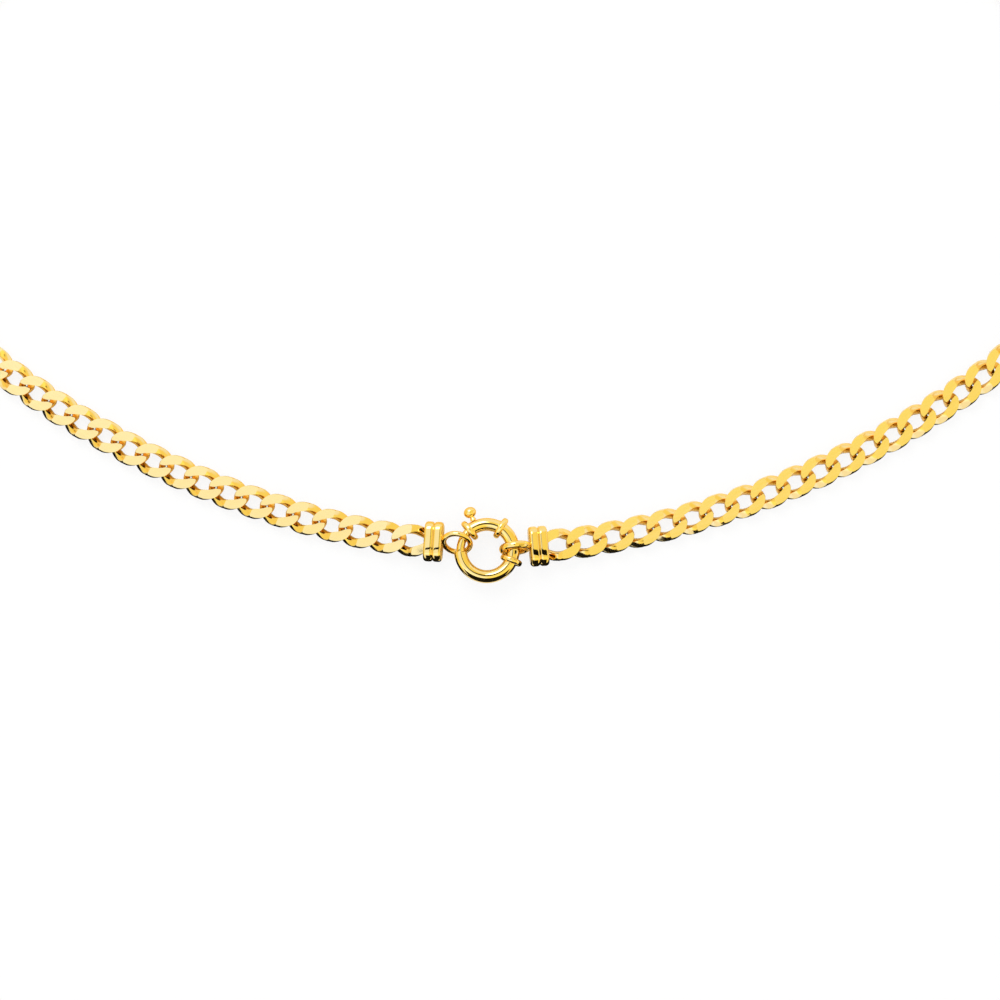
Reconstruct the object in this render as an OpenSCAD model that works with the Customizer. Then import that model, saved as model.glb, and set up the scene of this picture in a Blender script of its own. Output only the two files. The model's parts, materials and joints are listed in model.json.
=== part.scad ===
// Flat curb neck chain closed by a bolt ring clasp, laid out as a closed loop on a table.
// Millimetres, +Z up. The origin lies under the middle of the bolt ring, on the table.

/* [Chain] */
// Width of a link, across the chain
link_width = 6; // [5.7:0.1:6.2]
// Length of a link, along the chain
link_length = 7.8; // [7.6:0.05:8]
// Width of a link's two long sides
side_width = 1.65; // [1.55:0.05:1.75]
// Width of a link's two end bars, measured along the chain
end_width = 1.3; // [1.2:0.02:1.34]
// Thickness of the chain between its two filed faces
chain_thickness = 2.2; // [2.1:0.05:2.3]
// Depth of the wire at the long sides, before filing
side_depth = 2; // [1.8:0.05:2.1]
// Depth of the wire at the end bars
end_depth = 1.3; // [1.2:0.02:1.36]
// Width of the bevel along a link's edges
link_bevel = 0.2; // [0.16:0.01:0.24]
// Turn of each end of a link against its middle, in degrees
end_twist = 62; // [61:0.5:63]
// Free play along the chain between two linked end bars
link_play = 0.2; // [0.18:0.01:0.26]

/* [Bolt ring] */
// Outer diameter of the bolt ring
ring_diameter = 12; // [11.8:0.1:12.5]
// Outer diameter of the tube that the ring is bent from
tube_diameter = 2.4; // [2.3:0.05:2.45]
// Wall of that tube
tube_wall = 0.4; // [0.35:0.01:0.45]
// Running clearance of the tongue in the tube, all round
tongue_clearance = 0.05; // [0.03:0.01:0.08]
// Angle of the mouth's upper edge, from the right, in degrees
mouth_top = 134; // [132:0.5:136]
// Angle of the mouth's lower edge, in degrees
mouth_bottom = 182; // [181:0.5:184]
// Turn of the tongue from shut to open, in degrees
tongue_travel = 42; // [36:1:44]
// Angle of the thumb knob when the tongue is shut, in degrees
knob_angle = 114; // [112:0.5:116]
// Diameter of the thumb knob
knob_diameter = 2.3; // [2.1:0.1:2.5]
// Diameter of the knob's stem
stem_diameter = 0.8; // [0.7:0.05:0.9]
// Outer diameter of the three collars
collar_diameter = 4.1; // [3.9:0.1:4.2]
// Width of a collar along the tube
collar_width = 0.85; // [0.7:0.05:0.9]

/* [End fittings] */
// Outer diameter of the two soldered loops
loop_diameter = 5.9; // [5.7:0.1:6.1]
// Diameter of the loops' wire
loop_wire = 1; // [0.9:0.05:1.05]
// Length of an end cap along the chain
cap_length = 3.3; // [3.2:0.1:3.6]
// Height of the rib crowns above the groove between them
cap_groove = 0.3; // [0.2:0.05:0.35]
// Wall of an end cap at the groove
cap_wall = 0.25; // [0.2:0.01:0.3]
// Room around the link that is soldered into a cap
cap_room = 0.08; // [0.06:0.01:0.1]

/* [Layout] */
// Turn from the mouth's upper edge to where the left loop hangs, in degrees
left_hang = 30; // [29.5:0.5:30.5]
// Angle on the ring where the right loop hangs, in degrees
right_hook = 5; // [3:0.5:7]
// Lean of the left loop, its top towards the back, in degrees
left_lean = 38; // [34:1:39]
// Lean of the right loop, its top towards the back, in degrees
right_lean = 11; // [8:1:14]
// Middle line of the laid chain, to the right of the ring's middle
path_x = 2; // [1:0.1:3]
// Point where the two halves of the laid curve meet, beyond the ring's middle
path_y = -0.1; // [-0.5:0.1:0.5]

/* [Hidden] */
gold = "#e9bf52";
steel = "#b9bdc2";
// Facets round a link: on the front of the chain, and on the runs behind it.
front_facets = 16;
back_facets = 10;
// Exponents of the link's outline and of its hole: 1 is an ellipse, 0 a rectangle.
outline_round = 0.8;
hole_round = 0.5;
pitch = link_length - 2 * end_width - link_play;
chain_z = chain_thickness / 2;

ring_radius = (ring_diameter - tube_diameter) / 2;
tube_radius = tube_diameter / 2;
bore_radius = tube_radius - tube_wall;
tongue_radius = bore_radius - tongue_clearance;
tongue_seat = 5;
tongue_tail = 9;
tongue_tip_angle = mouth_bottom + tongue_seat;
tongue_tail_angle = knob_angle - tongue_tail;
knob_standoff = 0.45;
knob_reach = ring_radius + tube_radius + knob_standoff + knob_diameter / 2;
slot_clearance = 0.08;
slot_width = stem_diameter + 2 * slot_clearance;
slot_margin = (slot_width / 2) / ring_radius * 180 / PI;
collar_fit = 0.03;
// Middles of the upper, middle and lower collars; the upper one edges the mouth.
mouth_collar_inset = 1.5;
collar_angles = [mouth_top - mouth_collar_inset, 58, -19];
stop_angle = 14;
stop_length = 12;

spring_turns = 11;
spring_steps = 9;
spring_sides = 5;
spring_wire = 0.22;
spring_room = 0.08;
spring_radius = bore_radius - spring_wire / 2 - spring_room;
spring_gap = 1.8;

// The upright right loop stands on the table and holds the ring up.
loop_radius = (loop_diameter - loop_wire) / 2;
loop_eye = loop_radius - loop_wire / 2;
loop_clearance = 0.35;
table_clearance = 0.1;
clasp_z = loop_diameter / 2 + table_clearance;
solder = 0.3;
cap_front = 1.6;
// Extra bore width that clears a link's square corners in the bore's round ends.
cap_corner = 0.4;

cap_bore_height = chain_thickness + 2 * cap_room;
cap_bore_width = link_width + 2 * cap_room + cap_corner;
cap_height = cap_bore_height + 2 * (cap_wall + cap_groove);
cap_width = cap_bore_width + 2 * cap_wall + cap_groove;
rib_width = cap_length / 2;
rib_crown = (pow(rib_width / 2, 2) + pow(cap_groove, 2)) / (2 * cap_groove);

// The chain climbs to the clasp over its first few links.
clasp_lift = 0.5;
lift_fade = 0.4;
function pivot_z(n) = chain_z + clasp_lift * pow(lift_fade, n - 1);

// Distances along an end fitting, from the ring outwards to the first free pivot.
function hook_radius(side) = side < 0 ? tongue_radius : tube_radius;
function loop_at(side) = loop_eye - hook_radius(side) - loop_clearance;
function cap_at(side) = loop_at(side) + loop_diameter / 2 - solder;
function held_link_at(side) = cap_at(side) + cap_front + cap_room + link_length / 2;
function reach(side) = held_link_at(side) + pitch / 2;
function rise(side) = asin((clasp_z - pivot_z(1)) / reach(side));
function plan_reach(side) = reach(side) * cos(rise(side));
function hook_angle(side) = side < 0 ? mouth_top + left_hang : right_hook;
function lean(side) = side < 0 ? left_lean : -right_lean;
function hook(side) = ring_radius * [cos(hook_angle(side)), sin(hook_angle(side))];

// The laid loop: a wide front arc on either side of the clasp, a tight end and a wide back.
left_singles = 18;
right_singles = 19;
left_run_length = 6;
right_run_length = 7;
left_runs = 6;
right_runs = 5;
left_free_links = left_singles - 1 + left_runs * left_run_length;
right_free_links = right_singles - 1 + right_runs * right_run_length;
open_gap = 0.8;
// Headings of the right half where it leaves the clasp, and where its tight end starts and stops.
front_heading = 3.9;
tight_heading = 36.5;
back_heading = 150;
front_radius = 172.4;
clasp_span = hook(1).x - hook(-1).x + plan_reach(1) + plan_reach(-1);
free_length = (left_free_links + right_free_links) * pitch + link_length - pitch + open_gap;
half_loop = (clasp_span + free_length) / 2;
front_length = front_radius * (tight_heading - front_heading) * PI / 180;
front_width = front_radius * (sin(tight_heading) - sin(front_heading));
// The tight and back radii close the loop at the chain's length.
tight_turn = (back_heading - tight_heading) * PI / 180;
back_share = (180 - back_heading) * PI / 180 / sin(back_heading);
end_sine = sin(back_heading) - sin(tight_heading);
tight_radius = (half_loop - front_length - front_width * back_share) / (tight_turn + end_sine * back_share);
back_radius = (front_width + tight_radius * end_sine) / sin(back_heading);
tight_length = tight_radius * tight_turn;

function arc_point(centre, radius, heading) = centre + radius * [sin(heading), -cos(heading)];
function arc_heading(from, along, radius) = from + along / radius * 180 / PI;
front_centre = arc_point([0, 0], -front_radius, front_heading);
tight_centre = arc_point(front_centre, front_radius - tight_radius, tight_heading);
back_centre = arc_point(tight_centre, tight_radius - back_radius, back_heading);
// A point of the loop's right half, at a distance along it from the clasp.
function oval_point(along) =
    along < front_length
    ? arc_point(front_centre, front_radius, arc_heading(front_heading, along, front_radius))
    : along < front_length + tight_length
    ? arc_point(tight_centre, tight_radius, arc_heading(tight_heading, along - front_length, tight_radius))
    : arc_point(back_centre, back_radius,
        arc_heading(back_heading, along - front_length - tight_length, back_radius));

// The first free pivot is where the end fitting's reach meets the front arc.
function start(side) =
    let (
        arm = [side * (hook(side).x - path_x), hook(side).y - path_y] - front_centre,
        away = norm(arm),
        bearing = atan2(arm.y, arm.x) + 90,
        turn = acos((away * away + front_radius * front_radius - pow(plan_reach(side), 2))
            / (2 * away * front_radius))
    )
    front_radius * (bearing + turn - front_heading) * PI / 180;
// Pivot n joins link n to link n + 1, counted from the clasp on either side.
function pivot(side, n) =
    let (p = oval_point(start(side) + (n - 1) * pitch))
    [path_x + side * p.x, path_y + p.y, pivot_z(n)];

function heading(from, to) = atan2(to.y - from.y, to.x - from.x);
function climb(from, to) = asin((to.z - from.z) / norm(to - from));

function two_digits(n) = n < 10 ? str("0", n) : str(n);
clasp_names = ["clasp_tube", "upper_collar", "middle_collar", "lower_collar", "tongue", "thumb_knob",
    "tongue_spring", "spring_stop", "left_loop", "right_loop", "left_cap", "right_cap"];
left_link_names = [for (n = [1 : left_singles]) str("left_link_", two_digits(n))];
right_link_names = [for (n = [1 : right_singles]) str("right_link_", two_digits(n))];
left_run_names = [for (n = [1 : left_runs]) str("left_run_", n)];
right_run_names = [for (n = [1 : right_runs]) str("right_run_", n)];

// One curb link: an oval band, twisted along its length and filed flat on both faces.

function powered(value, exponent) = sign(value) * pow(abs(value), exponent);
function oval(angle, half_length, half_width, exponent) =
    [half_length * powered(cos(angle), exponent), half_width * powered(sin(angle), exponent)];
// Six corners of the band at one angle, as [x, y, z] before the twist.
function band_section(angle) =
    let (
        outer = oval(angle, link_length / 2, link_width / 2, outline_round),
        inner = oval(angle, link_length / 2 - end_width, link_width / 2 - side_width, hole_round),
        across = (outer - inner) / norm(outer - inner) * link_bevel,
        half = (end_depth + (side_depth - end_depth) * pow(sin(angle), 2)) / 2
    )
    [
        [outer.x, outer.y, 0],
        [outer.x - across.x, outer.y - across.y, half],
        [inner.x + across.x, inner.y + across.y, half],
        [inner.x, inner.y, 0],
        [inner.x + across.x, inner.y + across.y, -half],
        [outer.x - across.x, outer.y - across.y, -half]
    ];
function twisted(p) =
    let (turn = -end_twist * p.x / (link_length / 2))
    [p.x, p.y * cos(turn) - p.z * sin(turn), p.y * sin(turn) + p.z * cos(turn)];
function filed(p) = [p.x, p.y, max(-chain_z, min(chain_z, p.z))];

// Triangles of a tube of rings, closed on itself or capped at both ends.
function ring_faces(rings, sides, closed) =
    [
        for (i = [0 : rings - (closed ? 1 : 2)], j = [0 : sides - 1])
            let (
                a = i * sides + j,
                b = i * sides + (j + 1) % sides,
                c = (i + 1) % rings * sides + (j + 1) % sides,
                d = (i + 1) % rings * sides + j
            )
            each [[a, c, b], [a, d, c]]
    ];

module curb_link(facets) {
    points = [
        for (i = [0 : facets - 1])
            for (p = band_section((i + 0.5) * 360 / facets)) filed(twisted(p))
    ];
    polyhedron(points, ring_faces(facets, 6, true));
}

module laid_link(side, n, facets) {
    from = pivot(side, n - 1);
    to = pivot(side, n);
    translate((from + to) / 2)
        rotate([0, -climb(from, to), heading(from, to)])
            curb_link(facets);
}

// Places its children with X running outwards along an end fitting, from the ring.
module along_fitting(side, distance) {
    at = hook(side);
    translate([at.x, at.y, clasp_z])
        rotate([0, rise(side), heading(at, pivot(side, 1))])
            translate([distance, 0, 0])
                children();
}

module single_link(side, n) {
    color(gold)
        if (n == 1)
            along_fitting(side, held_link_at(side)) curb_link(front_facets);
        else
            laid_link(side, n, front_facets);
}

module link_run(side, run, first, length) {
    color(gold)
        for (i = [1 : length])
            laid_link(side, first + (run - 1) * length + i, back_facets);
}

// End fittings: a loop of round wire, soldered to a ribbed cap that holds the last link.

module end_loop(side) {
    color(gold)
        along_fitting(side, loop_at(side))
            rotate([90 + lean(side), 0, 0])
                rotate_extrude($fn = 48)
                    translate([loop_radius, 0])
                        circle(d = loop_wire, $fn = 24);
}

// Half of a rib's outline along the chain: its crown is an arc.
module rib_half() {
    crown_height = cap_height / 2;
    intersection() {
        translate([0, crown_height - rib_crown])
            circle(rib_crown, $fn = 96);
        translate([-rib_width / 2, 0])
            square([rib_width, cap_height]);
    }
}

module rib() {
    straight = cap_width - cap_height;
    rotate([90, 0, 0])
        linear_extrude(straight, center = true) {
            rib_half();
            mirror([0, 1]) rib_half();
        }
    for (flip = [0, 1])
        mirror([0, flip, 0])
            translate([0, straight / 2, 0])
                rotate([0, 90, 0])
                    rotate_extrude(angle = 180, $fn = 64)
                        rotate(90) mirror([0, 1]) rib_half();
}

module cap_bore() {
    depth = cap_length - cap_front;
    straight = cap_bore_width - cap_bore_height;
    translate([cap_front, 0, 0])
        rotate([90, 0, 90])
            linear_extrude(depth + 1) {
                square([straight, cap_bore_height], center = true);
                for (y = [-1, 1])
                    translate([y * straight / 2, 0])
                        circle(d = cap_bore_height, $fn = 48);
            }
}

module end_cap(side) {
    color(gold)
        along_fitting(side, cap_at(side))
            difference() {
                for (i = [0, 1])
                    translate([(i + 0.5) * rib_width, 0, 0]) rib();
                cap_bore();
            }
}

// Bolt ring: a bent tube with a mouth, three collars, and a sprung tongue that shuts the mouth.

module ring_arc(from, to) {
    translate([0, 0, clasp_z])
        rotate([0, 0, from])
            rotate_extrude(angle = to - from, $fn = 96)
                translate([ring_radius, 0])
                    children();
}

module clasp_tube() {
    color(gold)
        difference() {
            ring_arc(mouth_bottom, mouth_top + 360)
                difference() {
                    circle(tube_radius, $fn = 48);
                    circle(bore_radius, $fn = 48);
                }
            ring_arc(knob_angle - tongue_travel - slot_margin, knob_angle + slot_margin)
                translate([0, -slot_width / 2])
                    square([tube_diameter, slot_width]);
        }
}

module collar(angle) {
    half = collar_width / 2;
    color(gold)
        translate([0, 0, clasp_z])
            rotate([0, 0, angle])
                translate([ring_radius, 0, 0])
                    rotate([90, 0, 0])
                        rotate_extrude($fn = 64) {
                            translate([tube_radius + collar_fit, -half])
                                square([collar_diameter / 2 - tube_radius - collar_fit - half, collar_width]);
                            intersection() {
                                translate([collar_diameter / 2 - half, 0])
                                    circle(half, $fn = 32);
                                translate([collar_diameter / 2 - half, -half])
                                    square([half, collar_width]);
                            }
                        }
}

module tongue() {
    color(gold)
        ring_arc(tongue_tail_angle, tongue_tip_angle)
            circle(tongue_radius, $fn = 40);
}

module thumb_knob() {
    color(gold)
        translate([0, 0, clasp_z])
            rotate([0, 0, knob_angle]) {
                translate([knob_reach, 0, 0])
                    sphere(d = knob_diameter, $fn = 48);
                translate([ring_radius, 0, 0])
                    rotate([0, 90, 0])
                        cylinder(d = stem_diameter, h = knob_reach - ring_radius, $fn = 32);
            }
}

module spring_stop() {
    color(gold)
        ring_arc(stop_angle - stop_length, stop_angle)
            circle(bore_radius - collar_fit, $fn = 40);
}

// A corner of the spring's wire: a helix wound round the ring's own curve.
function spring_point(turn, side, from, to) =
    let (
        along = turn / spring_turns,
        angle = from + (to - from) * along,
        wind = turn * 360,
        round_wire = side * 360 / spring_sides,
        out = spring_radius + spring_wire / 2 * cos(round_wire),
        shift = spring_wire / 2 * sin(round_wire) / ring_radius * 180 / PI,
        radius = ring_radius + out * cos(wind)
    )
    [radius * cos(angle + shift), radius * sin(angle + shift), clasp_z + out * sin(wind)];

module tongue_spring() {
    from = tongue_tail_angle - spring_gap;
    to = stop_angle + spring_gap;
    rings = spring_turns * spring_steps + 1;
    points = [
        for (i = [0 : rings - 1], j = [0 : spring_sides - 1])
            spring_point(i / spring_steps, j, from, to)
    ];
    first_cap = [for (j = [0 : spring_sides - 1]) spring_sides - 1 - j];
    last_cap = [for (j = [0 : spring_sides - 1]) (rings - 1) * spring_sides + j];
    walls = [for (f = ring_faces(rings, spring_sides, false)) [f[0], f[2], f[1]]];
    color(steel)
        polyhedron(points, concat(walls, [first_cap, last_cap]));
}

clasp_tube();
collar(collar_angles[0]);  // upper_collar
collar(collar_angles[1]);  // middle_collar
collar(collar_angles[2]);  // lower_collar
tongue();
thumb_knob();
tongue_spring();
spring_stop();
end_loop(-1);  // left_loop
end_loop(1);  // right_loop
end_cap(-1);  // left_cap
end_cap(1);  // right_cap
for (n = [1 : left_singles])
    single_link(-1, n);
for (n = [1 : right_singles])
    single_link(1, n);
for (n = [1 : left_runs])
    link_run(-1, n, left_singles, left_run_length);
for (n = [1 : right_runs])
    link_run(1, n, right_singles, right_run_length);
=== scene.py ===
"""Gold curb chain with a bolt ring clasp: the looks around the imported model."""

import json
import math

import bmesh
import bpy
import numpy as np
from mathutils import Matrix, Vector


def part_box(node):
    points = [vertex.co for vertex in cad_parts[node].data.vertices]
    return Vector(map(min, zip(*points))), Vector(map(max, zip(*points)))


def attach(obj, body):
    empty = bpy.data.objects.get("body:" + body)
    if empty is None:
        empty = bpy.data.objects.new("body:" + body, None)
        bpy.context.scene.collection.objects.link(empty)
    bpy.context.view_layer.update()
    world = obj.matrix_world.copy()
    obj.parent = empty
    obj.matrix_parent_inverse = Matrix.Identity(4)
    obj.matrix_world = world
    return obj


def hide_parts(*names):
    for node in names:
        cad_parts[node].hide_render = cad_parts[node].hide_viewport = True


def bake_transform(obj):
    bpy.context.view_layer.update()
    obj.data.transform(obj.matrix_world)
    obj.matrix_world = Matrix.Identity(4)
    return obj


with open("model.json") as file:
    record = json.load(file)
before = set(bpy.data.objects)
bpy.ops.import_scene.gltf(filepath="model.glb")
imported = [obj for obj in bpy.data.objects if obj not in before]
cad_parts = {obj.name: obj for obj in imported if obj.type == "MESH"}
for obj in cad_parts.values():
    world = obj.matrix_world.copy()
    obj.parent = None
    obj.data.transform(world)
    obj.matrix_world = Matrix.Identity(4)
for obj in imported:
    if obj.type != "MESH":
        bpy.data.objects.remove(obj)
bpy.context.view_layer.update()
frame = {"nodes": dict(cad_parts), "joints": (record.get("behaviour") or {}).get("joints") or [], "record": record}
nodes = frame["nodes"]

# Named lengths are in millimetres and named angles in degrees.
MM = 0.001
AT_ORIGIN = Matrix.Identity(4)

# A link: the sizes of its solid, with slightly fuller sides, a rounder hole and an eased twist.
LINK_LENGTH = 7.8
LINK_WIDTH = 6.0
SIDE_WIDTH = 1.8
END_WIDTH = 1.3
CHAIN_THICKNESS = 2.2
SIDE_DEPTH = 2.0
END_DEPTH = 1.3
LINK_BEVEL = 0.2
END_TWIST = 62.0
TWIST_EASE = 0.85
OUTLINE_ROUND = 0.8
HOLE_ROUND = 0.72
LINK_RINGS = 72
CORNER_REACH = 0.22
LINK_SHARP = 28.0

# The bolt ring: the sizes of its solids, with fuller collars and softer edges.
# Places along the ring are angles about its middle.
RING_RADIUS = 4.8
RING_MIDDLE = Vector((0, 0, (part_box("clasp_tube")[0][2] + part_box("clasp_tube")[1][2]) / 2 / MM))
CLASP_SHARP = 40.0
TUBE_RADIUS = 1.2
BORE_RADIUS = 0.8
MOUTH_TOP = 134.0
MOUTH_BOTTOM = 183.0
MOUTH_EDGE = 0.12
SLOT_WIDTH = 0.96
SLOT_COLUMNS = 4
TONGUE_RADIUS = 0.75
TONGUE_FROM = 105.0
TONGUE_TO = 187.0
TONGUE_TRAVEL = 42.0
TIP_RINGS = 3
TIP_ROUND = 0.6
SPRING_FROM = 15.8
SPRING_TO = 103.2
SPRING_TURNS = 11
SPRING_RADIUS = 0.61
SPRING_WIRE = 0.22
KNOB_ANGLE = 114.0
KNOB_RADIUS = 1.15
KNOB_FLATNESS = 0.87
KNOB_REACH = 7.6
KNOB_POLE = 4.0
STEM_RADIUS = 0.4
STEM_FOOT = 0.56
STEM_TAPER = 0.14
FOOT_GAP = 0.05
FOOT_HEIGHT = 0.1
COLLARS = {"upper_collar": 130.6, "middle_collar": 58.0, "lower_collar": -22.1}
COLLAR_OUTSIDE = 2.05
COLLAR_INSIDE = 1.23
COLLAR_WIDTH = 1.1
COLLAR_SEAT = 0.92
COLLAR_WALL = 0.3
COLLAR_ROUND = 0.8

# The end fittings: a loop of wire, soldered to a cap of two ribs that holds the last link.
LOOP_RADIUS = 2.45
LOOP_WIRE = 1.0
LOOP_BROAD = {"left": 1.0, "right": 1.35}
LOOP_LEAN = {"left": 38.0, "right": -11.0}
SOLDER = 0.3
CAP_LENGTH = 3.3
CAP_WIDTH = 7.36
CAP_HEIGHT = 3.46
CAP_GROOVE = 0.3
CAP_FRONT = 1.6
CAP_BORE_WIDTH = 6.56
CAP_BORE_HEIGHT = 2.36
CAP_ROOM = 0.08
RIB_COUNT = 2
RIB_SHARE = 0.98
RIB_FLATNESS = 4

# The stage: the floor, the cards that lie on it along the chain's front, which start and end at a
# distance outwards from the chain's line, and the cards round the clasp.
FLOOR_HALF = 6000.0
FLOOR_LEVEL = -0.1
FLOOR_CLEAR = 0.86
CARD_LEVEL = -0.05
FRONT_MIDDLE = (2.0, 143.0)
RING_SIDE = 7.0
TONED_FROM = -30.0
FELT_FROM = 2.2
FELT_TO = 80.0
RING_FELT_TO = 6.0
RING_FELT_AGAIN = 10.5
CLASP_CARDS = {
    # Over the clasp: draws the thin dark line along the crown of its round parts.
    "bar_card": ((-4.5, 0, 55), (4.5, 0, 55), (4.5, 20, 55), (-4.5, 20, 55)),
    # Leaning, in front of the clasp: blackens the front of its round parts.
    "hood_card": ((-16, -11, 13), (16, -11, 13), (16, -22, 1.5), (-16, -22, 1.5)),
    # Over the end caps: draw the dark band across their flat tops.
    "left_strip": ((-13.8, 0.28, 7.8), (-6.6, 0.28, 7.8), (-6.6, 0.68, 7.8), (-13.8, 0.68, 7.8)),
    "right_strip": ((7.0, -0.77, 7.8), (13.6, -0.77, 7.8), (13.6, 0.37, 7.8), (7.0, 0.37, 7.8)),
}
WHITE_SCREEN = (1.0, 1.05, 1.2)
AMBER_SCREEN = (1.0, 0.88, 0.34)

# The photograph: one pixel in millimetres, and the point at its middle, at the height of the chain.
PIXEL = 0.1832
PHOTO_SIZE = 1000
PHOTO_MIDDLE = (2.4, 9.4)
PHOTO_HEIGHT = 1.6
CAMERA_ELEVATION = 84.0
CAMERA_DISTANCE = 520.0
SENSOR_WIDTH = 36.0


# Materials

def node_of(tree, kind, **values):
    """A new shader node with its attributes and unlinked inputs set."""
    node = tree.nodes.new(kind)
    for name, value in values.items():
        if name in node.inputs:
            node.inputs[name].default_value = value
        else:
            setattr(node, name, value)
    return node


def ramp_of(tree, *stops):
    """A colour ramp through the given (position, colour) stops."""
    ramp = tree.nodes.new("ShaderNodeValToRGB")
    elements = ramp.color_ramp.elements
    while len(elements) < len(stops):
        elements.new(0.5)
    for element, (position, colour) in zip(elements, stops):
        element.position = position
        element.color = (*colour, 1.0)
    return ramp


def grey(value):
    return (value, value, value)


def toned(first, second, share):
    """The colour at a share of the way from the first to the second."""
    return tuple(a + (b - a) * share for a, b in zip(first, second))


def new_material(name):
    """A new material, with its node tree and its shader."""
    material = bpy.data.materials.new(name)
    material.use_nodes = True
    tree = material.node_tree
    return material, tree, tree.nodes["Principled BSDF"]


def gold_material(name, deep, pale, edge, polish, filed, scratch):
    """Gold between two close tones: deeper and polished on the sides, paler and filed on the faces
    that are square to the piece's own Z, where the paler tone is also a painted highlight, and bright
    on worn edges."""
    material, tree, shader = new_material(name)
    link = tree.links.new
    shader.inputs["Metallic"].default_value = 1.0
    place = node_of(tree, "ShaderNodeTexCoord")

    def spread(source, given, wanted):
        """The source, mapped from the given range to the wanted one."""
        node = node_of(tree, "ShaderNodeMapRange")
        for socket, value in zip(("From Min", "From Max", "To Min", "To Max"), (*given, *wanted)):
            node.inputs[socket].default_value = value
        link(source, node.inputs["Value"])
        return node.outputs["Result"]

    def mixed(share, first, second):
        mix = node_of(tree, "ShaderNodeMix", data_type="RGBA")
        link(share, mix.inputs["Factor"])
        link(first, mix.inputs["A"])
        if isinstance(second, tuple):
            mix.inputs["B"].default_value = (*second, 1.0)
        else:
            link(second, mix.inputs["B"])
        return mix.outputs["Result"]

    axes = node_of(tree, "ShaderNodeSeparateXYZ")
    link(place.outputs["Normal"], axes.inputs[0])
    upright = node_of(tree, "ShaderNodeMath", operation="ABSOLUTE")
    link(axes.outputs["Z"], upright.inputs[0])
    flat = spread(upright.outputs[0], (0.9, 0.99), (0.0, 1.0))

    clouds = node_of(tree, "ShaderNodeTexNoise", Scale=260.0, Detail=3.0)
    link(place.outputs["Object"], clouds.inputs["Vector"])
    sides = ramp_of(tree, (0.32, deep), (0.68, toned(deep, pale, 0.5)))
    faces = ramp_of(tree, (0.32, toned(deep, pale, 0.6)), (0.68, pale))
    link(clouds.outputs["Fac"], sides.inputs["Fac"])
    link(clouds.outputs["Fac"], faces.inputs["Fac"])
    # Faces square to Z take the paler tone: a filed finish, and also a painted highlight.
    tone = mixed(flat, sides.outputs["Color"], faces.outputs["Color"])
    form = node_of(tree, "ShaderNodeNewGeometry")
    worn = spread(form.outputs["Pointiness"], (0.53, 0.62), (0.0, 0.6))
    link(mixed(worn, tone, edge), shader.inputs["Base Color"])

    # The grain is drawn out along the piece's own X.
    stretch = node_of(tree, "ShaderNodeMapping", Scale=(300.0, 4200.0, 4200.0))
    link(place.outputs["Object"], stretch.inputs["Vector"])
    grain = node_of(tree, "ShaderNodeTexNoise", Scale=1.0, Detail=4.0, Roughness=0.65)
    link(stretch.outputs["Vector"], grain.inputs["Vector"])
    fine = spread(grain.outputs["Fac"], (0.3, 0.7), (0.75 * polish, 1.25 * polish))
    coarse = spread(grain.outputs["Fac"], (0.3, 0.7), (0.7 * filed, 1.3 * filed))
    gloss = node_of(tree, "ShaderNodeMix", data_type="FLOAT")
    link(flat, gloss.inputs[0])
    link(fine, gloss.inputs[2])
    link(coarse, gloss.inputs[3])
    link(gloss.outputs[0], shader.inputs["Roughness"])

    relief = node_of(tree, "ShaderNodeBump", Distance=0.00003)
    link(grain.outputs["Fac"], relief.inputs["Height"])
    link(spread(flat, (0.0, 1.0), (0.2 * scratch, scratch)), relief.inputs["Strength"])
    link(relief.outputs["Normal"], shader.inputs["Normal"])
    return material


def steel_material():
    """Spring wire: grey steel, mottled in tone and gloss."""
    material, tree, shader = new_material("spring_steel")
    link = tree.links.new
    shader.inputs["Metallic"].default_value = 1.0
    place = node_of(tree, "ShaderNodeTexCoord")
    mottle = node_of(tree, "ShaderNodeTexNoise", Scale=4000.0, Detail=2.0)
    link(place.outputs["Object"], mottle.inputs["Vector"])
    tones = ramp_of(tree, (0.3, (0.42, 0.43, 0.45)), (0.7, (0.62, 0.63, 0.65)))
    link(mottle.outputs["Fac"], tones.inputs["Fac"])
    link(tones.outputs["Color"], shader.inputs["Base Color"])
    gloss = node_of(tree, "ShaderNodeMapRange")
    gloss.inputs["To Min"].default_value = 0.2
    gloss.inputs["To Max"].default_value = 0.4
    link(mottle.outputs["Fac"], gloss.inputs["Value"])
    link(gloss.outputs["Result"], shader.inputs["Roughness"])
    return material


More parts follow.
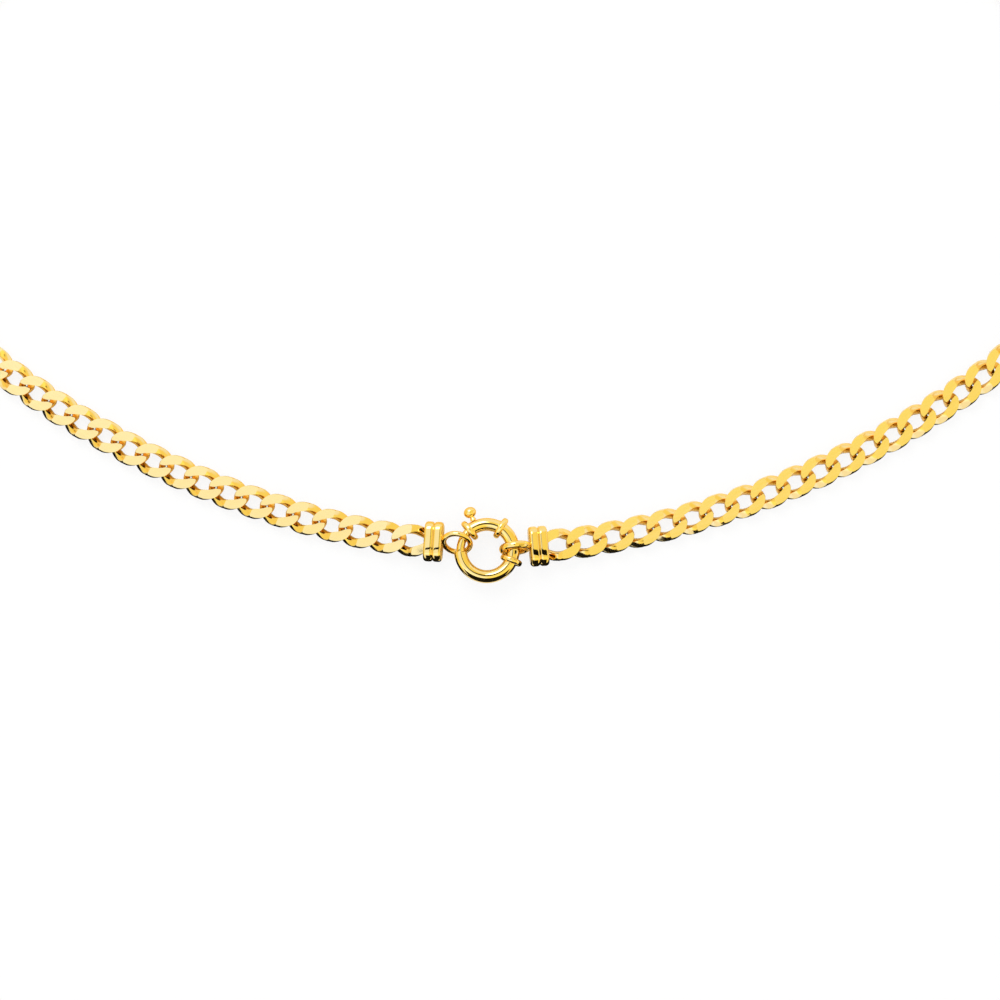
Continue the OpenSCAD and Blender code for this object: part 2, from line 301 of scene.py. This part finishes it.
def floor_material():
    """Thin white paper with a faint tooth, which takes the shadow. The camera sees the white room
    through it, and the metal sees it close to white."""
    material, tree, shader = new_material("paper")
    link = tree.links.new
    shader.inputs["Roughness"].default_value = 0.9
    shader.inputs["Specular IOR Level"].default_value = 0.1
    place = node_of(tree, "ShaderNodeTexCoord")
    tooth = node_of(tree, "ShaderNodeTexNoise", Scale=900.0, Detail=3.0)
    link(place.outputs["Object"], tooth.inputs["Vector"])
    tones = ramp_of(tree, (0.3, grey(0.88)), (0.7, grey(0.9)))
    link(tooth.outputs["Fac"], tones.inputs["Fac"])
    link(tones.outputs["Color"], shader.inputs["Base Color"])

    path = node_of(tree, "ShaderNodeLightPath")
    seen = node_of(tree, "ShaderNodeMath", operation="MAXIMUM")
    link(path.outputs["Is Camera Ray"], seen.inputs[0])
    link(path.outputs["Is Glossy Ray"], seen.inputs[1])
    through = node_of(tree, "ShaderNodeMath", operation="MAXIMUM")
    link(seen.outputs[0], through.inputs[0])
    link(path.outputs["Is Transmission Ray"], through.inputs[1])
    share = node_of(tree, "ShaderNodeMath", operation="MULTIPLY")
    link(through.outputs[0], share.inputs[0])
    share.inputs[1].default_value = FLOOR_CLEAR

    white = node_of(tree, "ShaderNodeEmission", Color=(1, 1, 1, 1), Strength=1.0)
    clear = node_of(tree, "ShaderNodeBsdfTransparent")
    light = node_of(tree, "ShaderNodeMixShader")
    link(path.outputs["Is Camera Ray"], light.inputs[0])
    link(white.outputs[0], light.inputs[1])
    link(clear.outputs[0], light.inputs[2])
    mix = node_of(tree, "ShaderNodeMixShader")
    link(share.outputs[0], mix.inputs[0])
    link(shader.outputs[0], mix.inputs[1])
    link(light.outputs[0], mix.inputs[2])
    link(mix.outputs[0], tree.nodes["Material Output"].inputs["Surface"])
    return material


def card_material(name, dark, light):
    """Matt card, mottled between two close tones."""
    material, tree, shader = new_material(name)
    shader.inputs["Roughness"].default_value = 1.0
    shader.inputs["Specular IOR Level"].default_value = 0.0
    mottle = node_of(tree, "ShaderNodeTexNoise", Scale=300.0)
    tones = ramp_of(tree, (0.3, dark), (0.7, light))
    tree.links.new(mottle.outputs["Fac"], tones.inputs["Fac"])
    tree.links.new(tones.outputs["Color"], shader.inputs["Base Color"])
    return material


def wear(piece, material):
    piece.data.materials.clear()
    piece.data.materials.append(material)


# Each gold's pale tone, used on faces square to Z, is partly a painted highlight.
link_gold = gold_material("link_gold", deep=(0.96, 0.67, 0.24), pale=(0.98, 0.78, 0.34),
                          edge=(1.0, 0.84, 0.45), polish=0.1, filed=0.2, scratch=0.25)
clasp_gold = gold_material("clasp_gold", deep=(0.95, 0.66, 0.20), pale=(0.98, 0.75, 0.29),
                           edge=(1.0, 0.82, 0.42), polish=0.06, filed=0.06, scratch=0.03)
spring_steel = steel_material()


# Pieces

bodies = frame["record"]["behaviour"]["bodies"]
body_of = {node: body for body, members in bodies.items() for node in members}


def add_piece(name, mesh, place):
    piece = bpy.data.objects.new(name, mesh)
    bpy.context.scene.collection.objects.link(piece)
    piece.matrix_world = place
    return piece


def stand_for(node, mesh, place):
    """A piece that shows in place of a solid, and moves with its body."""
    piece = add_piece("gold_" + node, mesh, place)
    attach(piece, body_of[node])
    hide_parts(node)


def finish_mesh(mesh, sharp):
    """Smooth faces that meet at less than the sharp angle."""
    mesh.polygons.foreach_set("use_smooth", [True] * len(mesh.polygons))
    mesh.set_sharp_from_angle(angle=math.radians(sharp))


def powered(value, exponent):
    """A power of the value's size, with the value's sign."""
    return math.copysign(abs(value) ** exponent, value)


def steps(start, stop, count):
    """Even steps from start to stop, with both of them."""
    return [start + (stop - start) * i / count for i in range(count + 1)]


# Links

def oval(angle, half_length, half_width, exponent):
    return Vector((half_length * powered(math.cos(angle), exponent),
                   half_width * powered(math.sin(angle), exponent)))


def band_corners(angle):
    """The six corners of a link's band at one angle, before the twist."""
    outer = oval(angle, LINK_LENGTH / 2, LINK_WIDTH / 2, OUTLINE_ROUND)
    inner = oval(angle, LINK_LENGTH / 2 - END_WIDTH, LINK_WIDTH / 2 - SIDE_WIDTH, HOLE_ROUND)
    across = (outer - inner).normalized() * LINK_BEVEL
    half = (END_DEPTH + (SIDE_DEPTH - END_DEPTH) * math.sin(angle) ** 2) / 2
    rim, lip = outer - across, inner + across
    return [Vector((*outer, 0)), Vector((*rim, half)), Vector((*lip, half)),
            Vector((*inner, 0)), Vector((*lip, -half)), Vector((*rim, -half))]


def rounded(corners, reach):
    """The closed outline with each corner cut by a three-point arc."""
    points = []
    for i, corner in enumerate(corners):
        before = corner.lerp(corners[i - 1], reach)
        after = corner.lerp(corners[(i + 1) % len(corners)], reach)
        middle = (before + after) / 4 + corner / 2
        points += [before, middle, after]
    return points


def twisted(p):
    """A point of the band after the twist, which grows towards either end of the link."""
    turn = -math.radians(END_TWIST) * powered(p.x / (LINK_LENGTH / 2), TWIST_EASE)
    return Vector((p.x, p.y * math.cos(turn) - p.z * math.sin(turn),
                   p.y * math.sin(turn) + p.z * math.cos(turn)))


def curb_link_mesh():
    """One curb link: a twisted oval band with both faces filed flat."""
    form = bmesh.new()
    rings = []
    for i in range(LINK_RINGS):
        outline = rounded(band_corners((i + 0.5) * 2 * math.pi / LINK_RINGS), CORNER_REACH)
        rings.append([form.verts.new(twisted(p) * MM) for p in outline])
    sides = len(rings[0])
    for i in range(LINK_RINGS):
        here, there = rings[i], rings[(i + 1) % LINK_RINGS]
        for j in range(sides):
            k = (j + 1) % sides
            form.faces.new((here[j], there[j], there[k], here[k]))
    for up in (1, -1):
        cut = bmesh.ops.bisect_plane(
            form, geom=form.verts[:] + form.edges[:] + form.faces[:], dist=1e-9,
            plane_co=(0, 0, up * CHAIN_THICKNESS / 2 * MM), plane_no=(0, 0, up), clear_outer=True)
        rim = [e for e in cut["geom_cut"] if isinstance(e, bmesh.types.BMEdge)]
        bmesh.ops.holes_fill(form, edges=rim)
    bmesh.ops.recalc_face_normals(form, faces=form.faces[:])
    mesh = bpy.data.meshes.new("curb_link")
    form.to_mesh(mesh)
    form.free()
    finish_mesh(mesh, LINK_SHARP)
    mesh.materials.append(link_gold)
    return mesh


def link_places(node):
    """Where each link solid of a node lies: its middle, with X along it and Z across its faces."""
    mesh = nodes[node].data
    points = np.empty(len(mesh.vertices) * 3)
    mesh.vertices.foreach_get("co", points)
    points = points.reshape(-1, 3)
    _, first, same = np.unique(np.round(points, 6), axis=0, return_index=True, return_inverse=True)
    points, same = points[first], same.reshape(-1)
    mesh.calc_loop_triangles()
    corners = np.empty(len(mesh.loop_triangles) * 3, int)
    mesh.loop_triangles.foreach_get("vertices", corners)
    corners = same[corners].reshape(-1, 3)
    # Each solid is labelled by the lowest of its points' numbers.
    label = np.arange(len(points))
    while True:
        lowest = label.copy()
        for column in corners.T:
            np.minimum.at(lowest, column, label[corners].min(axis=1))
        if (lowest == label).all():
            break
        label = lowest
    places = []
    for solid in np.unique(label):
        cloud = points[label == solid]
        middle = cloud.mean(axis=0)
        _, axes = np.linalg.eigh(np.cov((cloud - middle).T))
        x, z = Vector(axes[:, 2]), Vector(axes[:, 0])
        if z.z < 0:
            z.negate()
        y = z.cross(x)
        places.append(Matrix.Translation(middle) @ Matrix((x, y, z)).transposed().to_4x4())
    return places


def joined(mesh, places):
    """Copies of a mesh at the given places, in one mesh."""
    form = bmesh.new()
    for place in places:
        start = len(form.verts)
        form.from_mesh(mesh)
        form.verts.ensure_lookup_table()
        bmesh.ops.transform(form, matrix=place, verts=form.verts[start:])
    run = bpy.data.meshes.new("link_run")
    form.to_mesh(run)
    form.free()
    run.materials.append(link_gold)
    return run


link_mesh = curb_link_mesh()
for name in sorted(nodes):
    if "_link_" in name:
        stand_for(name, link_mesh, link_places(name)[0])
    elif "_run_" in name:
        stand_for(name, joined(link_mesh, link_places(name)), AT_ORIGIN)


# Clasp and end fittings

def circle(radius, count, broad=1.0):
    """Points of a circle, or of an oval that is wider along its second axis."""
    turns = [2 * math.pi * i / count for i in range(count)]
    return [(radius * math.cos(t), radius * broad * math.sin(t)) for t in turns]


def closed_mesh(name, form):
    """The finished mesh of a closed form, in the clasp's gold."""
    bmesh.ops.recalc_face_normals(form, faces=form.faces[:])
    mesh = bpy.data.meshes.new(name)
    form.to_mesh(mesh)
    form.free()
    finish_mesh(mesh, CLASP_SHARP)
    mesh.materials.append(clasp_gold)
    return mesh


def skin(name, rows, around=False):
    """A closed mesh over rows of points: joined end to end, or closed by a face at either end."""
    form = bmesh.new()
    grid = [[form.verts.new(Vector(p) * MM) for p in row] for row in rows]
    for here, there in zip(grid, grid[1:] + grid[:1] if around else grid[1:]):
        for j in range(len(here)):
            form.faces.new((here[j - 1], there[j - 1], there[j], here[j]))
    if not around:
        form.faces.new(grid[0])
        form.faces.new(grid[-1])
    return closed_mesh(name, form)


def on_ring(angle, out, up):
    """A point beside the ring's middle line: out from the ring's middle, and up."""
    turn = math.radians(angle)
    reach = RING_RADIUS + out
    return RING_MIDDLE + Vector((reach * math.cos(turn), reach * math.sin(turn), up))


def clasp_tube_mesh(rings=240, sides=48):
    """The bent tube with its bore, its mouth's softened edges and the knob's slot."""
    edge = math.degrees(MOUTH_EDGE / RING_RADIUS)
    start, stop = MOUTH_BOTTOM, MOUTH_TOP + 360
    angles = [start, *steps(start + edge, stop - edge, rings), stop]
    margin = math.degrees(SLOT_WIDTH / 2 / RING_RADIUS)
    slot_from, slot_to = KNOB_ANGLE - TONGUE_TRAVEL - margin + 360, KNOB_ANGLE + margin + 360

    def section(radius):
        """Points round the tube, the slot's columns first."""
        half = math.asin(SLOT_WIDTH / 2 / radius)
        turns = steps(-half, half, SLOT_COLUMNS)[:-1]
        turns += steps(half, 2 * math.pi - half, sides - SLOT_COLUMNS)[:-1]
        return [(radius * math.cos(t), radius * math.sin(t)) for t in turns]

    def is_slot(i, j):
        if not (0 <= i < len(angles) - 1 and j < SLOT_COLUMNS):
            return False
        return slot_from < angles[i] and angles[i + 1] < slot_to

    form = bmesh.new()
    outside, inside = [], []
    for i, angle in enumerate(angles):
        radius = TUBE_RADIUS - MOUTH_EDGE if i in (0, len(angles) - 1) else TUBE_RADIUS
        outside.append([form.verts.new(on_ring(angle, *p) * MM) for p in section(radius)])
        inside.append([form.verts.new(on_ring(angle, *p) * MM) for p in section(BORE_RADIUS)])

    for i in range(len(angles) - 1):
        for j in range(sides):
            k = (j + 1) % sides
            if not is_slot(i, j):
                for wall in (outside, inside):
                    form.faces.new((wall[i][j], wall[i + 1][j], wall[i + 1][k], wall[i][k]))
                continue
            for open_too, (a, b), (c, d) in ((is_slot(i - 1, j), (i, j), (i, k)),
                                             (is_slot(i + 1, j), (i + 1, j), (i + 1, k)),
                                             (is_slot(i, (j - 1) % sides), (i, j), (i + 1, j)),
                                             (is_slot(i, k), (i, k), (i + 1, k))):
                if not open_too:
                    form.faces.new((outside[a][b], outside[c][d], inside[c][d], inside[a][b]))
    for i in (0, -1):
        for j in range(sides):
            form.faces.new((outside[i][j - 1], outside[i][j], inside[i][j], inside[i][j - 1]))
    return closed_mesh("clasp_tube", form)


def tongue_mesh(rings=80, sides=40):
    """The bolt: a bent rod with rounded tips."""
    rows = []
    for i, angle in enumerate(steps(TONGUE_FROM, TONGUE_TO, rings)):
        from_tip = min(i, rings - i, TIP_RINGS) / TIP_RINGS
        radius = TONGUE_RADIUS * math.sqrt(1 - TIP_ROUND * (1 - from_tip) ** 2)
        rows.append([on_ring(angle, *p) for p in circle(radius, sides)])
    return skin("tongue", rows)


def spring_mesh(turn_steps=24, sides=10):
    """The tongue's spring: a helix of round wire wound round the ring's own curve."""
    rows = []
    for turn in steps(0, SPRING_TURNS, SPRING_TURNS * turn_steps):
        angle = SPRING_TO + (SPRING_FROM - SPRING_TO) * turn / SPRING_TURNS
        wind = 2 * math.pi * turn
        row = []
        for out, along in circle(SPRING_WIRE / 2, sides):
            reach = SPRING_RADIUS + out
            row.append(on_ring(angle + math.degrees(along / RING_RADIUS),
                               reach * math.cos(wind), reach * math.sin(wind)))
        rows.append(row)
    return skin("tongue_spring", rows)


def collar_mesh(name, angle, count=72, arc=14):
    """A bead round the tube: square where it sits, round outside."""
    depth = COLLAR_OUTSIDE - COLLAR_INSIDE
    seat = COLLAR_WIDTH * COLLAR_SEAT / 2
    profile = [(COLLAR_INSIDE, seat), (COLLAR_INSIDE, -seat)]
    for bulge in map(math.radians, steps(-90, 90, arc)):
        share = COLLAR_WALL + (1 - COLLAR_WALL) * powered(math.cos(bulge), COLLAR_ROUND)
        profile.append((COLLAR_INSIDE + depth * share,
                        COLLAR_WIDTH / 2 * powered(math.sin(bulge), COLLAR_ROUND)))
    turn = math.radians(angle)
    tangent = Vector((-math.sin(turn), math.cos(turn), 0))
    rows = [[on_ring(angle, radius * math.cos(t), radius * math.sin(t)) + tangent * along
             for radius, along in profile]
            for t in steps(0, 2 * math.pi, count)[:-1]]
    return skin(name, rows, around=True)


def knob_mesh(sides=40, arc=28):
    """The thumb knob, round a line out of the ring: a flattened ball on a stem with a flared foot."""
    foot = RING_RADIUS + TUBE_RADIUS + FOOT_GAP
    stem = foot + FOOT_HEIGHT
    ball = KNOB_RADIUS * KNOB_FLATNESS
    stem_length = KNOB_REACH - ball - foot
    profile = [(RING_RADIUS, STEM_RADIUS), (foot, STEM_RADIUS),
               (foot, STEM_FOOT), (stem, STEM_FOOT)]
    profile += [(stem + stem_length * share, STEM_FOOT - STEM_TAPER * math.sin(share * math.pi / 2))
                for share in steps(0.2, 1.0, 4)]
    ball_from = math.degrees(math.asin(STEM_RADIUS / KNOB_RADIUS)) + KNOB_POLE
    profile += [(KNOB_REACH - ball * math.cos(t), KNOB_RADIUS * math.sin(t))
                for t in map(math.radians, steps(ball_from, 180 - KNOB_POLE, arc))]
    turn = math.radians(KNOB_ANGLE)
    away = Vector((math.cos(turn), math.sin(turn), 0))
    across = Vector((-math.sin(turn), math.cos(turn), 0))
    rows = [[RING_MIDDLE + away * reach + across * y + Vector((0, 0, z))
             for y, z in circle(radius, sides)]
            for reach, radius in profile]
    return skin("thumb_knob", rows)


def fitting_frame(side):
    """The start of an end cap, with X along the fitting, away from the ring."""
    place = link_places(side + "_link_01")[0]
    middle = place.translation
    x, z = place.col[0].xyz, place.col[2].xyz
    if x.dot(middle - RING_MIDDLE * MM) < 0:
        x.negate()
    turned = Matrix((x, z.cross(x), z)).transposed().to_4x4()
    start = middle - x * (CAP_FRONT + CAP_ROOM + LINK_LENGTH / 2) * MM
    return Matrix.Translation(start) @ turned


def loop_mesh(side, count=120, sides=32):
    """The loop of wire in front of a cap, leaning about the fitting's line."""
    lean = math.radians(LOOP_LEAN[side])
    axis = Vector((0, math.cos(lean), math.sin(lean)))
    upright = axis.cross(Vector((1, 0, 0)))
    middle = Vector((SOLDER - LOOP_RADIUS - LOOP_WIRE / 2, 0, 0))
    rows = []
    for t in steps(0, 2 * math.pi, count)[:-1]:
        away = Vector((math.cos(t), 0, 0)) + upright * math.sin(t)
        rows.append([middle + away * (LOOP_RADIUS + out) + axis * along
                     for out, along in circle(LOOP_WIRE / 2, sides, LOOP_BROAD[side] / LOOP_WIRE)])
    return skin(side + "_loop", rows, around=True)


def cap_mesh(side, arc=24, rib_steps=20):
    """A cap of flat-topped ribs, with the bore that holds the last link."""
    def stadium(x, width, height):
        half, straight = height / 2, (width - height) / 2
        turns = steps(-math.pi / 2, math.pi / 2, arc)
        right = [(x, straight + half * math.cos(t), half * math.sin(t)) for t in turns]
        return right + [(x, -y, -z) for _, y, z in right]

    rib = CAP_LENGTH / RIB_COUNT
    rows = []
    for i in range(RIB_COUNT):
        for u in steps(-1, 1, rib_steps):
            drop = 2 * CAP_GROOVE * abs(u) ** RIB_FLATNESS
            x = rib * (i + 0.5 + u / 2 * RIB_SHARE)
            rows.append(stadium(x, CAP_WIDTH - drop, CAP_HEIGHT - drop))
    end = rows[-1][0][0]
    rows.append(stadium(end, CAP_BORE_WIDTH, CAP_BORE_HEIGHT))
    rows.append(stadium(CAP_FRONT, CAP_BORE_WIDTH, CAP_BORE_HEIGHT))
    return skin(side + "_cap", rows)


stand_for("clasp_tube", clasp_tube_mesh(), AT_ORIGIN)
stand_for("tongue", tongue_mesh(), AT_ORIGIN)
stand_for("thumb_knob", knob_mesh(), AT_ORIGIN)
for name, angle in COLLARS.items():
    stand_for(name, collar_mesh(name, angle), AT_ORIGIN)
for side in ("left", "right"):
    place = fitting_frame(side)
    for name, mesh in ((side + "_loop", loop_mesh(side)), (side + "_cap", cap_mesh(side))):
        mesh.transform(place)
        stand_for(name, mesh, AT_ORIGIN)
wear(nodes["spring_stop"], clasp_gold)

# The tongue spring in steel, in place of the model's solid, attached to no body.
spring = add_piece("steel_tongue_spring", spring_mesh(), AT_ORIGIN)
wear(spring, spring_steel)
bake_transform(spring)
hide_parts("tongue_spring")


# Stage

def stage_mesh(name, points, faces, material):
    mesh = bpy.data.meshes.new(name)
    mesh.from_pydata([Vector(p) * MM for p in points], [], faces)
    piece = bpy.data.objects.new(name, mesh)
    bpy.context.scene.collection.objects.link(piece)
    wear(piece, material)
    return piece


def mirror_card(name, points, faces, material):
    """A card that only the metal's reflections see."""
    card = stage_mesh(name, points, faces, material)
    card.visible_camera = False
    card.visible_diffuse = False
    card.visible_shadow = False
    card.visible_transmission = False


def floor_cards():
    """Kraft and cream cards under the chain's front and inside it, and black felt along its outer
    side, with a gap in front of the ring."""
    hinges = [Vector(j["pos_m"]) / MM for j in frame["joints"] if "_link_" in j["name"]]
    ring_sides = [Vector((-RING_SIDE, 0)), Vector((RING_SIDE, 0))]
    line = sorted([p.xy for p in hinges] + ring_sides, key=lambda p: p.x)
    middle = Vector(FRONT_MIDDLE)

    def row(shift):
        return [(*(p + (p - middle).normalized() * shift), CARD_LEVEL) for p in line]

    count = len(line)
    strip = [(i, i + 1, count + i + 1, count + i) for i in range(count - 1)]
    half = sum(p.x < 0 for p in line)
    mirror_card("kraft_card", row(TONED_FROM) + row(FELT_FROM), strip[:half],
                card_material("kraft", (0.84, 0.66, 0.28), (0.88, 0.70, 0.32)))
    mirror_card("cream_card", row(TONED_FROM) + row(FELT_FROM), strip[half:],
                card_material("cream", (0.92, 0.84, 0.66), (0.95, 0.88, 0.72)))
    at_ring = strip[line.index(ring_sides[0])]
    beside_ring = [face for face in strip if face != at_ring]
    mirror_card("felt_card", row(FELT_FROM) + row(FELT_TO), beside_ring, felt)
    mirror_card("under_felt", row(FELT_FROM) + row(RING_FELT_TO), [at_ring], felt)
    mirror_card("front_felt", row(RING_FELT_AGAIN) + row(FELT_TO), [at_ring], felt)


square = [(0, 1, 2, 3)]
floor_corners = [(x * FLOOR_HALF, y * FLOOR_HALF, FLOOR_LEVEL)
                 for x, y in ((-1, -1), (1, -1), (1, 1), (-1, 1))]
stage_mesh("floor", floor_corners, square, floor_material())
felt = card_material("felt", grey(0.008), grey(0.012))
floor_cards()
for name, corners in CLASP_CARDS.items():
    mirror_card(name, corners, square, felt)


# Light and camera

def studio_world():
    """Even white light. The metal sees a white and an amber half, both ended by the other tone,
    with white at the back and a brighter band in front."""
    world = bpy.data.worlds.new("studio")
    bpy.context.scene.world = world
    world.use_nodes = True
    tree = world.node_tree
    link = tree.links.new
    place = node_of(tree, "ShaderNodeTexCoord")
    axes = node_of(tree, "ShaderNodeSeparateXYZ")
    link(place.outputs["Generated"], axes.inputs[0])

    def ramped(axis, *stops):
        """A ramp along one axis of the room, from 0 at one end to 1 at the other."""
        along = node_of(tree, "ShaderNodeMapRange")
        along.inputs["From Min"].default_value = -1.0
        link(axes.outputs[axis], along.inputs["Value"])
        ramp = ramp_of(tree, *stops)
        link(along.outputs["Result"], ramp.inputs["Fac"])
        return ramp.outputs["Color"]

    def blend(kind, share, first, second):
        mix = node_of(tree, "ShaderNodeMix", data_type="RGBA", blend_type=kind)
        for socket, source in (("Factor", share), ("A", first), ("B", second)):
            if isinstance(source, float):
                mix.inputs[socket].default_value = source
            elif isinstance(source, tuple):
                mix.inputs[socket].default_value = (*source, 1.0)
            else:
                link(source, mix.inputs[socket])
        return mix.outputs["Result"]

    screens = ramped("X", (0.0, AMBER_SCREEN), (0.1, AMBER_SCREEN),
                     (0.125, WHITE_SCREEN), (0.47, WHITE_SCREEN),
                     (0.52, AMBER_SCREEN), (0.955, AMBER_SCREEN),
                     (0.975, WHITE_SCREEN), (1.0, WHITE_SCREEN))
    back = ramped("Y", (0.8, grey(0.0)), (0.86, grey(1.0)))
    front = ramped("Y", (0.2, grey(1.0)), (0.28, grey(1.3)), (0.34, grey(1.3)), (0.38, grey(1.0)))
    room = blend("MULTIPLY", 1.0, blend("MIX", back, screens, WHITE_SCREEN), front)
    path = node_of(tree, "ShaderNodeLightPath")
    seen = blend("MIX", path.outputs["Is Glossy Ray"], grey(1.0), room)
    link(seen, tree.nodes["Background"].inputs["Color"])


def soft_box(name, at, size, power):
    """A wide lamp, turned to the middle of the scene, in metres and watts."""
    lamp = bpy.data.lights.new(name, "AREA")
    lamp.shape = "RECTANGLE"
    lamp.size, lamp.size_y = size
    lamp.energy = power
    holder = bpy.data.objects.new(name, lamp)
    bpy.context.scene.collection.objects.link(holder)
    holder.location = at
    holder.rotation_euler = (-Vector(at)).to_track_quat("-Z", "Y").to_euler()
    holder.visible_camera = False


def photo_camera():
    """A camera at the photograph's angle, with the photograph's scale at its middle."""
    lens = bpy.data.cameras.new("photo")
    lens.sensor_width = SENSOR_WIDTH
    lens.lens = SENSOR_WIDTH * CAMERA_DISTANCE / (PIXEL * PHOTO_SIZE)
    lens.clip_start, lens.clip_end = 0.01, 50.0
    camera = bpy.data.objects.new("photo", lens)
    bpy.context.scene.collection.objects.link(camera)
    tilt = math.radians(CAMERA_ELEVATION)
    aim = Vector((*PHOTO_MIDDLE, PHOTO_HEIGHT)) * MM
    camera.location = aim + CAMERA_DISTANCE * MM * Vector((0, -math.cos(tilt), math.sin(tilt)))
    camera.rotation_euler = (math.pi / 2 - tilt, 0, 0)
    bpy.context.scene.camera = camera


studio_world()
soft_box("back_box", at=(-0.25, 0.6, 0.8), size=(0.5, 0.4), power=3.0)
photo_camera()
bpy.context.scene.view_settings.view_transform = "Standard"
